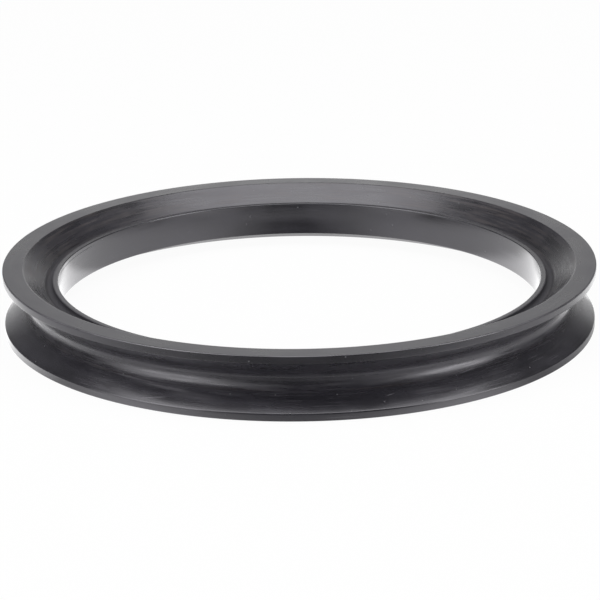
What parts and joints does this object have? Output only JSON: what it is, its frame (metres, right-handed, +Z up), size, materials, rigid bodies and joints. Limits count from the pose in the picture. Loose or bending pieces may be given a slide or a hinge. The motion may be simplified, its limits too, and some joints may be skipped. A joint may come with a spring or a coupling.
{
  "type": "air filter housing gasket",
  "caption": "Black moulded rubber ring gasket: flared lips with flat sealing lands above and below, a thin free sleeve in the bore and a rounded vee groove round the outside.",
  "frame": {"origin": "centre of the ring in the plane of the bottom land", "axes": "+Z up along the bore axis, X and Y in the plane of the bottom land"},
  "size_m": [0.1716, 0.1716, 0.018],
  "materials": {
    "gasket_ring": "satin moulded black rubber"
  },
  "bodies": {
    "root": {"gasket_ring": "gasket_ring"}
  },
  "joints": []
}
